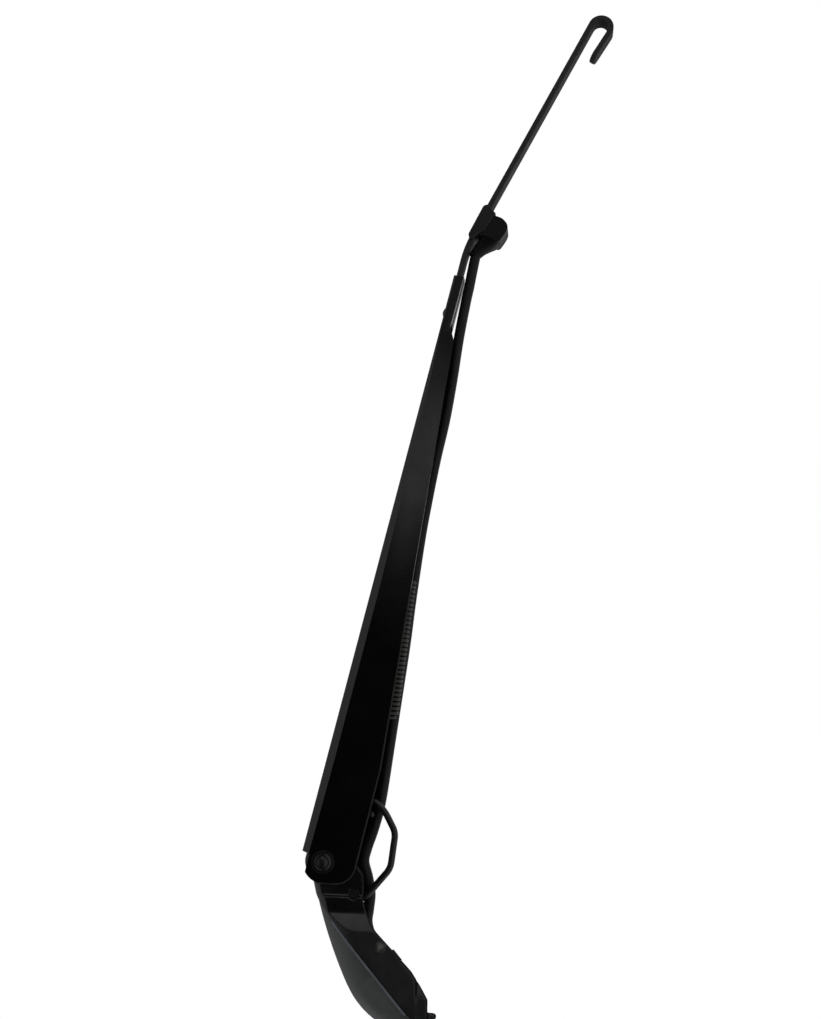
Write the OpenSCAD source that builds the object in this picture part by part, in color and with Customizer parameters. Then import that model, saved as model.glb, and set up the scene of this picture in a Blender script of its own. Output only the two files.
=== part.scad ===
// Windscreen wiper arm with a fed washer hose, a pressed channel and a J-hook blade rod
// Millimetres. +Z is the spindle axis outward, +X runs along the arm to the hook.
// The origin is the centre of the spindle hole in the seat of the cast head, inside its skirt.
// The arm is drawn free, resting on its own stop.

/* [Hinge] */
// Spindle axis to hinge pin along the arm
hinge_x = 67; // [60:0.5:75]
// Height of the hinge pin above the spindle seat
hinge_height = 47; // [42:0.5:54]
// Downward slope of the channel at rest, degrees
channel_dip = 13.2; // [8:0.1:18]
// Diameter of the hinge pin
hinge_pin_d = 7; // [5:0.1:8]
// Radial running fit of the hinge pin in its bushes
hinge_fit = 0.05; // [0.02:0.01:0.1]
// Diameter of the washer under each peened pin end
hinge_washer_d = 12; // [10:0.5:14]

/* [Channel] */
// Length of the pressed channel from the hinge to its tip
channel_length = 325.5; // [300:0.5:350]
// Sheet thickness
sheet = 1.2; // [1:0.1:1.6]
// Outer width at the hinge
channel_width = 28; // [24:0.5:30]
// Outer width at the crimped tip
tip_width = 11.8; // [11.8:0.1:14]
// Height of the web above the hinge axis
web_height = 12.6; // [12.2:0.1:14]
// Depth of the side walls below the hinge axis
wall_drop = 16.8; // [15:0.1:18]
// Depth of the crimped tip
tip_depth = 5.5; // [5.4:0.1:6.5]
// Bevel along the two edges of the web
web_bevel = 4.2; // [3:0.1:5]

/* [Blade rod] */
// Width of the flat rod
rod_width = 9; // [8:0.1:9]
// Thickness of the flat rod
rod_thickness = 3; // [2.5:0.1:3]
// Slope of the rod beyond its bend, degrees
rod_dip = 27.6; // [20:0.1:32]
// Straight rod from the bend to the hook
rod_straight = 144.8; // [110:0.1:150]
// Gap inside the J-hook
hook_gap = 8.6; // [7:0.1:10]
// Length of the return leg
hook_leg = 20; // [14:0.5:26]

/* [Head] */
// Outer radius of the head round the spindle
head_radius = 17.6; // [16:0.1:20]
// Width of the neck between the channel walls
neck_width = 24.2; // [20:0.1:24.2]
// Thickness of the two cheeks of the neck
cheek = 3.3; // [2.5:0.1:4]
// Wall of the casting under the crown
crown_wall = 3.6; // [3:0.1:5]
// Depth of the skirt below the spindle seat
skirt_depth = 8; // [7:0.1:9]
// Height of the nut seat above the spindle seat
nut_seat = 12; // [10.5:0.1:12.5]
// Diameter of the boss round the spindle
boss_d = 19; // [17:0.1:20]
// Diameter of the spindle hole
spindle_d = 9.4; // [8:0.1:12]
// Chamfer at the mouth of the spindle hole
spindle_chamfer = 0.8; // [0.4:0.1:1.2]
// Diameter of the well round the nut
nut_well_d = 22; // [20:0.5:24]
// Wall of the spindle cap
cap_wall = 1.8; // [1.4:0.1:2.4]

/* [Spring and link] */
// Outer diameter of the spring
spring_od = 15; // [13:0.1:16]
// Diameter of the spring wire
spring_wire = 2; // [1.6:0.1:2.2]
// Number of coils
spring_coils = 30; // [26:1:32]
// Diameter of the link wire
link_wire = 3.5; // [3:0.1:3.8]
// Diameter of the link pin in the head
link_pin_d = 5; // [4:0.1:5.4]
// Diameter of the anchor pin in the channel
anchor_pin_d = 4; // [3.5:0.1:5]

/* [Washer] */
// Outer diameter of the hose
hose_d = 5.7; // [5:0.1:6]
// Width of the nozzle block
nozzle_width = 14; // [13:0.5:16]
// Diameter of each jet
jet_d = 2.6; // [2:0.1:3]

/* [Hidden] */
$fn = 72;
eps = 0.02;
seam_step = 0.1;
touch = 0.05;
free_gap = 0.3;

// The head is drawn from the rim of its skirt and then lowered, so that the spindle seat comes to zero
hinge_z = hinge_height + skirt_depth;
nut_seat_z = nut_seat + skirt_depth;
skirt_floor = skirt_depth + 4;

// Channel outline in its own frame, u along the web and w outward
wall = channel_width / 2;
tip_half = tip_width / 2;
step_u = channel_length - 31.5;
step_run = 8;
drop_u = 52;
web_start_u = 2;
ear_radius = 10.6;
heel_radius = 10;
heel_u = 1;
tip_floor_w = web_height - tip_depth;
width_steps = [
  [-14, wall], [50, wall], [146, wall - 1.6], [channel_length - 62.5, tip_half + 2.1],
  [channel_length - 36.5, tip_half + 0.2], [channel_length + 2, tip_half]
];
bevel_turn = 0.64;

// Head outline in the X-Z plane
seam_x = -16.4;
seam_slope = 42.1;
nose_radius = 42;
back_radius = 230;
joint_slope = 27;
joint_x = 5.5;
joint_z = 43.2;
nose_cx = joint_x + nose_radius * sin(joint_slope);
nose_cz = joint_z - nose_radius * cos(joint_slope);
back_cx = joint_x + back_radius * sin(joint_slope);
back_cz = joint_z - back_radius * cos(joint_slope);
crown_past_hinge = 6.938;
crown_end = acos((hinge_x + crown_past_hinge - back_cx) / back_radius);
neck = neck_width / 2;
brow = 13.4;
lug_radius = 10.3;
ear_top_w = 7.9;
lip_gap = 3;
stop_angle = 32.5;
skirt_lift = 7.6;
skirt_turn = 12.4;

// Pivots of the spring and link in the X-Z plane
link_x = hinge_x - 15.5;
link_z = hinge_z - 16;
anchor_x = hinge_x + 152.5;
anchor_z = hinge_z - 35.5;
chain = atan2(anchor_z - link_z, anchor_x - link_x);
chain_length = norm([anchor_x - link_x, anchor_z - link_z]);
link_reach = 42.5;
spring_reach = chain_length - link_reach;
spring_y = -2.6;
link_eye = 3.5;
link_bow = [[45, -8], [43.2, -11], [40.4, -14.3], [35.4, -17.4], [26.4, -18.9], [16.3, -18.1], [7.8, -16],
  [3.4, -12.4], [0, -8.6], [-2.7, -5.2]];
coil_start = 6;
coil_length = 72;

// Blade rod
rod_w = web_height - sheet - rod_thickness / 2 - touch;
rod_floor_w = rod_w - rod_thickness / 2 - touch;
rod_back_u = channel_length - 39.5;
rod_bend_u = channel_length + 8.8;
rivet_u = channel_length - 22.5;
rivet_d = 4;
rod_bend_r = 60;
hook_r = (hook_gap + rod_thickness) / 2;

// Routes of the washer hose, hand-chosen
hose_y = 6.1;
hose_route = [
  [399, 0, -22.9], [389, 0, -18], [371, 0, -14.4], [350, 0, -10.2], [326, 0, -6.6],
  [303, 0.6, -2.5], [281, 1.6, 2.3], [259, 2.8, 6.5], [237, 4.4, 10.3], [204, hose_y, 14.8],
  [182, hose_y + 0.4, 17.3], [160, hose_y + 0.6, 20.2], [129, hose_y + 0.5, 24.4],
  [98, hose_y, 28.6], [84, 5.8, 31.8], [73, 5.6, 35.4]
];
tail_route = [
  [66, 5.5, 36.8], [58, 5.5, 34.6], [50, 5.5, 33.1], [42, 5.5, 33.7], [36, 5.5, 34.3],
  [30, 5.5, 32.6], [25, 5.5, 28.5], [20.8, 5.5, 24.7]
];
feed_x = 19.5;
feed_y = 5.5;
feed_z = 23.6;
feed_tilt = 48;

// Smooth curve through a route
function blend4(a, b, c, d, t) =
  b + (c - a) * t / 2 + (a * 2 - b * 5 + c * 4 - d) * t * t / 2
  + (b * 3 - c * 3 + d - a) * t * t * t / 2;
function smooth(p, k) = concat(
  [for (i = [0:len(p) - 2]) for (j = [0:k - 1])
    blend4(p[max(i - 1, 0)], p[i], p[i + 1], p[min(i + 2, len(p) - 1)], j / k)],
  [p[len(p) - 1]]
);
function unit(v) = v / norm(v);

// Round wire or hose through the points i0 to i1 of a curve, with a stated side direction at each point
module swept(p, b, r, sides, i0, i1) {
  m = i1 - i0 + 1;
  last = len(p) - 1;
  rings = [for (i = [i0:i1])
    let (t = unit(p[min(i + 1, last)] - p[max(i - 1, 0)]), a = unit(cross(b[i], t)), c = cross(t, a))
    for (j = [0:sides - 1]) p[i] + r * (cos(j * 360 / sides) * a + sin(j * 360 / sides) * c)];
  polyhedron(concat(rings, [p[i0], p[i1]]), concat(
    [for (i = [0:m - 2]) for (j = [0:sides - 1])
      [i * sides + j, (i + 1) * sides + j, (i + 1) * sides + (j + 1) % sides, i * sides + (j + 1) % sides]],
    [for (j = [0:sides - 1]) [j, (j + 1) % sides, m * sides]],
    [for (j = [0:sides - 1]) [(m - 1) * sides + (j + 1) % sides, (m - 1) * sides + j, m * sides + 1]]
  ), convexity = 10);
}
module tube(p, r, sides) swept(p, [for (q = p) [0, 1, 0]], r, sides, 0, len(p) - 1);

// Frames
module seated() translate([0, 0, -skirt_depth]) children();
module channel_frame() translate([hinge_x, 0, hinge_z]) rotate([0, channel_dip, 0]) children();
module along_y(x, z, d, y0, y1) translate([x, y1, z]) rotate([90, 0, 0]) cylinder(d = d, h = y1 - y0);
module side_slab(y0, y1) translate([0, y1, 0]) rotate([90, 0, 0]) linear_extrude(y1 - y0) children();

function arc(cu, cw, r, a0, a1, k) =
  [for (i = [0:k]) [cu + r * cos(a0 + (a1 - a0) * i / k), cw + r * sin(a0 + (a1 - a0) * i / k)]];

// Channel block without its hollow, grown inward by g from the outer faces
module channel_block(g, low) difference() {
  translate([0, 0, low]) linear_extrude(web_height - g - low) polygon(concat(
    [for (s = width_steps) [s[0], g - s[1]]],
    [for (i = [len(width_steps) - 1:-1:0]) [width_steps[i][0], width_steps[i][1] - g]]
  ));
  for (m = [0, 1]) mirror([0, m, 0]) translate([0, 0, web_height + wall - web_bevel - g * sqrt(2)])
    rotate([-45, 0, 0]) rotate([0, bevel_turn, 0]) translate([-60, -60, 0]) cube([480, 120, 60]);
}

// Side view of the channel
module channel_side() {
  polygon(concat(
    [[web_start_u, web_height + 2], [web_start_u, ear_top_w]],
    arc(0, 0, ear_radius, 132, 184, 6),
    arc(heel_u, heel_radius - wall_drop, heel_radius, 190, 268, 7),
    [[drop_u, -wall_drop], [step_u - step_run, tip_floor_w - 4],
     [step_u, tip_floor_w], [channel_length + 3, tip_floor_w], [channel_length + 3, web_height + 2]]
  ));
}

// Pressed steel channel
module channel() color([0.05, 0.05, 0.055]) seated() channel_frame() difference() {
  intersection() {
    channel_block(0, -wall_drop - 5);
    side_slab(-wall - 2, wall + 2) channel_side();
    tip_plan();
  }
  difference() {
    channel_block(sheet, -wall_drop - 8);
    translate([step_u + 2, -wall, -40]) cube([60, 2 * wall, 40 + rod_floor_w + 0.4]);
  }
  rod_slot();
  translate([0, wall + 1, 0]) rotate([90, 0, 0]) cylinder(d = hinge_pin_d + eps, h = 2 * wall + 2);
  anchor_hole();
  translate([rivet_u, 0, 0]) cylinder(d = rivet_d + eps, h = 30);
  translate([step_u, -lip_gap / 2, -10]) cube([60, lip_gap, 10 + rod_floor_w + 0.2]);
}
module tip_plan() {
  r = tip_half + 2;
  translate([0, 0, -40]) linear_extrude(80) polygon(concat(
    [[-20, wall + 1], [-20, -wall - 1], [step_u + 10, -wall - 1]],
    arc(channel_length - r, 0, r, -60, 60, 12),
    [[step_u + 10, wall + 1]]
  ));
}
module rod_slot() {
  translate([step_u - 9, -rod_width / 2 - touch, rod_w - rod_thickness / 2 - touch])
    cube([60, rod_width + 2 * touch, rod_thickness + 2 * touch]);
}
anchor_u = cos(channel_dip) * (anchor_x - hinge_x) - sin(channel_dip) * (anchor_z - hinge_z);
anchor_w = sin(channel_dip) * (anchor_x - hinge_x) + cos(channel_dip) * (anchor_z - hinge_z);
module anchor_hole() {
  translate([anchor_u, wall + 1, anchor_w]) rotate([90, 0, 0])
    cylinder(d = anchor_pin_d + eps, h = 2 * wall + 2);
}

// Hinge pin with two washers and two peened ends
module hinge_pin() color([0.12, 0.12, 0.13]) seated() translate([hinge_x, 0, hinge_z]) {
  translate([0, wall + 2, 0]) rotate([90, 0, 0]) cylinder(d = hinge_pin_d, h = 2 * wall + 4);
  for (s = [-1, 1]) {
    translate([0, s * (wall + 0.45), 0]) rotate([90, 0, 0])
      cylinder(d = hinge_washer_d, h = 0.8, center = true);
    translate([0, s * wall, 0]) rotate([-90 * s, 0, 0]) peened_end();
  }
}
module peened_end() {
  rotate_extrude() intersection() {
    translate([0, -3.2]) circle(r = 6);
    translate([0, 0.5]) square([4.3, 4]);
  }
}

// Rod that carries the blade
module blade_rod() color([0.07, 0.07, 0.075]) seated() difference() {
  union() {
    channel_frame() rod_start();
    rod_rest() rod_side();
  }
  channel_frame() translate([rivet_u, 0, 0]) cylinder(d = rivet_d + eps, h = 30);
}
module rod_start() {
  translate([rod_back_u, -rod_width / 2, rod_w - rod_thickness / 2])
    cube([rod_bend_u - rod_back_u, rod_width, rod_thickness]);
}
module rod_rest() channel_frame() translate([rod_bend_u, 0, rod_w]) children();
turn = rod_dip - channel_dip;
module rod_side() {
  side_slab(-rod_width / 2, rod_width / 2) bend_2d(rod_bend_r, turn);
  translate([rod_bend_r * sin(turn), 0, -rod_bend_r * (1 - cos(turn))])
    rotate([0, turn, 0]) {
      translate([-eps, -rod_width / 2, -rod_thickness / 2])
        cube([rod_straight + 2 * eps, rod_width, rod_thickness]);
      translate([rod_straight, 0, 0]) side_slab(-rod_width / 2, rod_width / 2) bend_2d(hook_r, 180);
      translate([rod_straight, 0, -2 * hook_r]) rotate([0, -4, 0]) hook_return();
    }
}
module hook_return() {
  intersection() {
    translate([-hook_leg, -rod_width / 2, -rod_thickness / 2])
      cube([hook_leg + 0.4, rod_width, rod_thickness]);
    union() {
      translate([-hook_leg + rod_width / 2, 0, -5]) cylinder(d = rod_width, h = 10);
      translate([-hook_leg + rod_width / 2, -rod_width / 2, -5]) cube([hook_leg, rod_width, 10]);
    }
  }
}
// Bar bent down by some degrees, starting at the origin along +X
module bend_2d(r, deg) {
  translate([0, -r]) intersection() {
    difference() {
      circle(r = r + rod_thickness / 2);
      circle(r = r - rod_thickness / 2);
    }
    wedge(r + 5, deg);
  }
}
module wedge(r, deg) {
  polygon(concat([[0, 0]], [for (i = [0:6]) 1.4 * r * [sin(deg * i / 6), cos(deg * i / 6)]]));
}

// Rivet through web and rod
module rod_rivet() color([0.07, 0.07, 0.075]) seated() channel_frame() {
  translate([rivet_u, 0, rod_floor_w + 0.1]) cylinder(d = rivet_d, h = web_height - rod_floor_w);
  translate([rivet_u, 0, web_height]) rotate_extrude() intersection() {
    translate([0, -2.4]) circle(r = 4);
    square([3.2, 3]);
  }
}

// Pin that anchors the spring
module spring_anchor_pin() color([0.12, 0.12, 0.13]) seated() channel_frame() {
  half = lookup(anchor_u, width_steps) + 0.3;
  translate([anchor_u, half, anchor_w]) rotate([90, 0, 0]) cylinder(d = anchor_pin_d, h = 2 * half);
}

// Solid under the crown of the head, shrunk by g
module crown_solid(g) {
  rr = head_radius - g;
  translate([back_cx, 0, back_cz]) rotate([90, 0, 0]) rotate(crown_end)
    rotate_extrude(angle = 90 + joint_slope - crown_end, $fn = 180) crown_section(back_radius - g, rr);
  translate([nose_cx, 0, nose_cz]) rotate([90, 0, 0]) rotate(88 + joint_slope)
    rotate_extrude(angle = 92 - joint_slope, $fn = 144)
      crown_section(nose_radius - g - seam_step, rr - seam_step);
  translate([nose_cx - nose_radius + head_radius, 0, -2])
    cylinder(r = rr - 2 * seam_step, h = nose_cz + 3, $fn = 144);
}
module crown_section(outer, rr) {
  intersection() {
    union() {
      translate([outer - rr, 0]) circle(r = rr);
      translate([0, -rr]) square([outer - rr, 2 * rr]);
    }
    translate([0, -rr]) square([outer + 1, 2 * rr]);
  }
}

// Plan of the head
module head_plan() {
  circle(r = head_radius, $fn = 96);
  polygon([
    [0, head_radius], [34.5, head_radius], [42.5, brow], [50, brow], [50.9, neck], [90, neck],
    [90, -neck], [50.9, -neck], [50, -brow], [42.5, -brow], [34.5, -head_radius], [0, -head_radius]
  ]);
}

// Side view of the head under the crown
module head_side() {
  polygon([
    [-30, 0], [3, 0], [9, 3.6], [16, 8.4], [34, 26.6], [38, 29.6], [44, 32.2], [50, 33.8],
    [61, 34.6], [65, 37.5], [hinge_x, hinge_z - 9], [hinge_x, hinge_z],
    [hinge_x - 24 * cos(stop_angle), hinge_z + 24 * sin(stop_angle)], [-30, 90]
  ]);
}
// Slanted cut that makes the skirt shallower toward the far side
module skirt_cut() translate([0, -14.5, 0]) rotate([skirt_lift, 0, skirt_turn]) side_slab(-40, 60) polygon([
  for (q = [[-32, -20], [-32, 0], [3, 0], [9, 3.6], [16, 8.4], [34, 26.6], [38, 29.6], [44, 32.2],
    [50, 33.8], [53, 34], [53, -20]])
    [q[0] * cos(skirt_turn), (q[1] + q[0] * sin(skirt_turn) * tan(skirt_lift)) * cos(skirt_lift)]
]);
module above_seam(lift) {
  side_slab(-40, 40) translate([seam_x, lift]) rotate(seam_slope) translate([-60, 0]) square([220, 120]);
}

// Cast head
module arm_head() color([0.16, 0.17, 0.17]) seated() difference() {
  union() {
    difference() {
      intersection() {
        crown_solid(0);
        translate([0, 0, -1]) linear_extrude(90) head_plan();
        side_slab(-30, 30) head_side();
      }
      above_seam(0);
      head_pocket();
      translate([0, 0, -3]) cylinder(r = head_radius - crown_wall, h = 3 + skirt_floor);
      skirt_cut();
    }
    translate([0, 0, skirt_depth]) cylinder(d = boss_d, h = 8);
    translate([0, 0, skirt_floor]) cylinder(d = nut_well_d - 2, h = nut_seat_z - skirt_floor);
    for (s = [0, 1]) mirror([0, s, 0]) {
      hinge_lug();
      channel_frame() rest_pad();
    }
    feed_frame() translate([-3.6, -4, -7]) cube([7.6, 8, 7]);
    translate([-5, -13.2, -2.6]) cylinder(d = 3.4, h = 10);
    translate([-5, -13.2, -2.6]) sphere(d = 3.4);
  }
  translate([0, 0, skirt_depth - 1]) cylinder(d = spindle_d, h = nut_seat + 2);
  translate([0, 0, nut_seat_z - spindle_chamfer])
    cylinder(d1 = spindle_d, d2 = spindle_d + 2 * spindle_chamfer, h = spindle_chamfer + eps);
  translate([0, 0, nut_seat_z]) cylinder(d = nut_well_d, h = 60);
  along_y(hinge_x, hinge_z, bush_d + eps, -20, 20);
  along_y(link_x, link_z, link_pin_d + eps, -20, 20);
  feed_frame() translate([0, 0, -3.6]) cylinder(d = feed_tube_d + eps, h = 12);
  translate([feed_drop_x, feed_y, 0]) cylinder(d = 3, h = feed_z - 2);
}
bush_d = 9.4;
bush_flange_d = 14;
feed_tube_d = 4.6;
feed_drop_x = feed_x - 1.8;
module feed_frame() translate([feed_x, feed_y, feed_z]) rotate([0, feed_tilt, 0]) children();
module head_pocket() difference() {
  intersection() {
    translate([0, 0, -3]) linear_extrude(90) polygon([
      [6, 13.4], [33, 13.4], [43, neck - cheek], [90, neck - cheek],
      [90, cheek - neck], [43, cheek - neck], [33, -13.4], [6, -13.4]
    ]);
    union() {
      crown_solid(crown_wall);
      translate([46, -20, 0]) cube([40, 40, 50]);
    }
    difference() {
      translate([0, -30, -3]) cube([90, 60, 90]);
      above_seam(-3.4);
    }
  }
  translate([0, 0, -4]) cylinder(r = 13.6, h = 80);
}
module hinge_lug() translate([hinge_x, 0, hinge_z]) rotate([-90, 0, 0]) rotate([0, 0, 165])
  rotate_extrude() polygon([
    [0, neck - cheek], [lug_radius, neck - cheek], [lug_radius, neck - 2.4],
    [lug_radius - 2.4, neck], [0, neck]
  ]);
// Pad under the web that stops the arm at rest
module rest_pad() {
  low = web_height - sheet - touch;
  translate([3, 0, 0]) rotate([90, 0, 90]) linear_extrude(7.5) polygon([
    [neck - cheek, 2], [neck, 2], [neck, low - 3.05], [neck - 3.05, low], [neck - cheek, low]
  ]);
}

// Cap over the spindle nut
module spindle_cap() color([0.28, 0.3, 0.3]) seated() difference() {
  intersection() {
    crown_solid(0.6);
    above_seam(0);
    translate([-30, -30, 0]) cube([90, 60, 90]);
  }
  crown_solid(0.6 + cap_wall);
}

// Link pin through both cheeks
module link_pin() color([0.3, 0.3, 0.31]) seated() along_y(link_x, link_z, link_pin_d, -neck, neck);

// Flanged bushes of the hinge
module hinge_bush(s) color([0.2, 0.2, 0.19]) seated() translate([hinge_x, 0, hinge_z])
  rotate([-90 * s, 0, 0]) difference() {
  union() {
    translate([0, 0, neck - cheek]) cylinder(d = bush_d, h = cheek);
    translate([0, 0, neck]) cylinder(d = bush_flange_d, h = wall - sheet - neck - 0.1);
  }
  cylinder(r = hinge_pin_d / 2 + hinge_fit, h = 40);
}
module hinge_bush_near() hinge_bush(-1);
module hinge_bush_far() hinge_bush(1);

// Washer hose
hose_line = smooth(concat(hose_route, tail_route), 3);
hose_side = [for (q = hose_line) [0, 1, 0]];
hose_split = 3 * (len(hose_route) - 1);
module washer_hose() color([0.09, 0.09, 0.085]) seated()
  swept(hose_line, hose_side, hose_d / 2, 12, 0, hose_split);
module hose_tail() color([0.09, 0.09, 0.085]) seated()
  swept(hose_line, hose_side, hose_d / 2, 12, hose_split, len(hose_line) - 1);

// Barbed connector that takes the feed hose
module feed_connector() color([0.13, 0.13, 0.13]) seated() feed_frame() difference() {
  union() {
    translate([0, 0, -3.5]) cylinder(d = feed_tube_d, h = 4);
    cylinder(d = 6.4, h = 1.5);
  }
  translate([0, 0, -5]) cylinder(d = 2.4, h = 10);
}

// Frame at the start of the straight rod, x along it and z outward
module straight_frame() rod_rest() translate([rod_bend_r * sin(turn), 0, -rod_bend_r * (1 - cos(turn))])
  rotate([0, turn, 0]) children();

// Nozzle clip round the rod
module nozzle_clip() color([0.1, 0.1, 0.1]) seated() straight_frame() difference() {
  side_slab(-nozzle_width / 2, nozzle_width / 2) rounded_box(0.6, -4.4, 20, 2.9, 1.4);
  translate([-1, -rod_width / 2 - touch, -rod_thickness / 2 - touch])
    cube([30, rod_width + 2 * touch, rod_thickness + 2 * touch]);
}
module rounded_box(x0, z0, x1, z1, r) {
  translate([x0 + r, z0]) square([x1 - x0 - 2 * r, z1 - z0]);
  translate([x0, z0 + r]) square([x1 - x0, z1 - z0 - 2 * r]);
  for (x = [x0 + r, x1 - r]) for (z = [z0 + r, z1 - r]) translate([x, z]) circle(r = r);
}

// Nozzle body with the hose collar
module nozzle_body() color([0.1, 0.1, 0.1]) seated() straight_frame() difference() {
  union() {
    side_slab(1 - nozzle_width / 2, nozzle_width / 2 - 1) {
      translate([3, -13]) square([10, 8.6]);
      translate([10.6, -10.6]) circle(r = 5.2);
      translate([5.2, -12]) circle(r = 2.2);
      translate([8, -10.6]) square([12, 6.2]);
      polygon([[15.2, -13], [20, -8.6], [20, -5], [10, -5], [10, -14]]);
    }
    translate([-5.8, 0, -9.8]) rotate([0, 90, 0]) cylinder(d = 7.6, h = 10);
  }
  for (s = [-1, 1]) jet_place(s) sphere(d = jet_d + eps);
}
module jet_place(s) translate([18.6, s * 3.4, -10.2]) children();
module jet(s) color([0.3, 0.3, 0.3]) seated() straight_frame() jet_place(s) difference() {
  sphere(d = jet_d);
  rotate([0, 135, 0]) cylinder(d = 0.7, h = 3);
}
module jet_near() jet(-1);
module jet_far() jet(1);

// Clips that hang the hose under the web
module hose_clip(p) color([0.08, 0.08, 0.08]) seated() {
  u = cos(channel_dip) * (p[0] - hinge_x) - sin(channel_dip) * (p[2] - hinge_z);
  w = sin(channel_dip) * (p[0] - hinge_x) + cos(channel_dip) * (p[2] - hinge_z);
  channel_frame() translate([u - 4, p[1], w]) rotate([90, 0, 90]) difference() {
    union() {
      cylinder(d = hose_d + 3, h = 8);
      translate([-1.5, hose_d / 2 + 0.4, 0]) cube([3, web_height - sheet - w - hose_d / 2 - 0.4, 8]);
    }
    translate([0, 0, -1]) cylinder(d = hose_d + 0.6, h = 10);
    translate([-10, -20, -1]) cube([20, 20, 10]);
  }
}
module hose_clip_front() hose_clip(hose_route[4]);
module hose_clip_mid() hose_clip(hose_route[5]);
module hose_clip_back() hose_clip(hose_route[7]);

// Extension spring with a coil body, a long hook at the link and a short hook at the anchor pin
module chain_frame() translate([anchor_x, 0, anchor_z]) rotate([0, 180 - chain, 0]) children();
spring_mean = (spring_od - spring_wire) / 2;
cross_x = spring_reach - link_eye + (link_wire + spring_wire) / 2 + 0.1;
cross_y = (link_wire + spring_wire) / 2 + 0.2;
module tension_spring() color([0.22, 0.22, 0.22]) seated() chain_frame() {
  steps = 16;
  coil = [for (i = [0:spring_coils * steps])
    let (f = i / (spring_coils * steps), a = i * 360 / steps)
    [coil_start + coil_length * f, spring_y + spring_mean * cos(a), spring_mean * sin(a)]];
  swept(coil, [for (q = coil) unit([0, q[1] - spring_y, q[2]])], spring_wire / 2, 6, 0, len(coil) - 1);
  tube(smooth([
    [coil_start, spring_y + spring_mean, 0], [3.6, spring_y + 5.2, -2.4], [0.6, 0.4, -3.2],
    [-2.2, -1.6, -2.1], [-3.2, -2.4, 0.6], [-1.2, -2.6, 3]
  ], 4), spring_wire / 2, 6);
  tube(smooth([
    [coil_start + coil_length, spring_y + spring_mean, 0], [coil_start + coil_length + 4, 3.2, 0.6],
    [90, cross_y, 0.4], [104, cross_y, 0], [cross_x - 5, cross_y, 0], [cross_x - 1.4, cross_y - 0.2, 0],
    [cross_x, cross_y - 1.6, 0], [cross_x + 0.1, 0, 0], [cross_x, 1.6 - cross_y, 0],
    [cross_x - 1.4, 0.2 - cross_y, 0], [cross_x - 5, -cross_y, 0]
  ], 4), spring_wire / 2, 6);
}

// C-shaped link of bent wire
module spring_link() color([0.2, 0.2, 0.2]) seated() tube(smooth(concat(
  [for (a = [210:-38:-18]) [link_x + eye_x + link_eye * cos(a), 0, link_z + eye_z + link_eye * sin(a)]],
  [for (q = link_bow) [link_x + q[0], 0, link_z + q[1]]],
  [for (a = [200:-42:30]) [link_x + link_pin_r * cos(a), 0, link_z + link_pin_r * sin(a)]]
), 4), link_wire / 2, 10);
link_pin_r = (link_pin_d + link_wire) / 2 + 0.1;
eye_x = link_reach * cos(chain);
eye_z = link_reach * sin(chain);

arm_head();
spindle_cap();
link_pin();
hinge_bush_near();
hinge_bush_far();
hose_tail();
feed_connector();
channel();
hinge_pin();
blade_rod();
rod_rivet();
spring_anchor_pin();
washer_hose();
nozzle_clip();
nozzle_body();
jet_near();
jet_far();
hose_clip_front();
hose_clip_mid();
hose_clip_back();
tension_spring();
spring_link();
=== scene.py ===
# Wiper arm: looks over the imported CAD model, in metres
import math

import bmesh
import bpy
from mathutils import Matrix, Vector


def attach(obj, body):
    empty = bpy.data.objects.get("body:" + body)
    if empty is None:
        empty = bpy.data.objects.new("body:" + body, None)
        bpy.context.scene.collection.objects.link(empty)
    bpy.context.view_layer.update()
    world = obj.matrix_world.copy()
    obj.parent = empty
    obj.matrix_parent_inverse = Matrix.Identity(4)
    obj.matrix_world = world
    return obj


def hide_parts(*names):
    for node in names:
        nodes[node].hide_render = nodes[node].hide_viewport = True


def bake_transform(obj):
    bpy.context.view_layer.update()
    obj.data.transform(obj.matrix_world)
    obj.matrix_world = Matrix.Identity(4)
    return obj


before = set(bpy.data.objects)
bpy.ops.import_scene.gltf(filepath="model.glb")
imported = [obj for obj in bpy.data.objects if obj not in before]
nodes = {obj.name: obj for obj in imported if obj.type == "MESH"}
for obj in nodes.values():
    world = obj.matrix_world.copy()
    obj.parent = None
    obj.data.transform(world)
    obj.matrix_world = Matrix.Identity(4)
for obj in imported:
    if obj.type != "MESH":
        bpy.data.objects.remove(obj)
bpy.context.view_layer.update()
MM = 0.001

# Camera at the photograph's place: lens and frame in pixels, place in millimetres
FOCAL_PIXELS, FRAME_PIXELS = 1200, 1019
SENSOR_HEIGHT = 36
CAMERA_PLACE = Vector((134.27, -640.42, -68.70))
CAMERA_RIGHT = Vector((0.021153, 0.114349, -0.993215))
CAMERA_UP = Vector((0.983317, -0.181900, 0))
CAMERA_AHEAD = Vector((0.180666, 0.976646, 0.116289))


def aim_camera():
    data = bpy.data.cameras.new("camera")
    data.sensor_fit = "VERTICAL"
    data.sensor_height = SENSOR_HEIGHT
    data.lens = FOCAL_PIXELS / FRAME_PIXELS * SENSOR_HEIGHT
    data.clip_start = 0.01
    cam = new_object("camera", data)
    turn = Matrix((CAMERA_RIGHT, CAMERA_UP, -CAMERA_AHEAD)).transposed().to_4x4()
    cam.matrix_world = Matrix.Translation(CAMERA_PLACE * MM) @ turn
    bpy.context.scene.camera = cam


# Procedural materials
def feed(tree, socket, value):
    """Socket fed by another socket, or set to a number, vector or colour"""
    if isinstance(value, bpy.types.NodeSocket):
        tree.links.new(value, socket)
    else:
        socket.default_value = value


def ramp(tree, source, stops):
    node = tree.nodes.new("ShaderNodeValToRGB")
    feed(tree, node.inputs["Fac"], source)
    for e, (pos, col) in zip(node.color_ramp.elements, stops):
        e.position = pos
        e.color = (*col, 1)
    return node.outputs["Color"]


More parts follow.
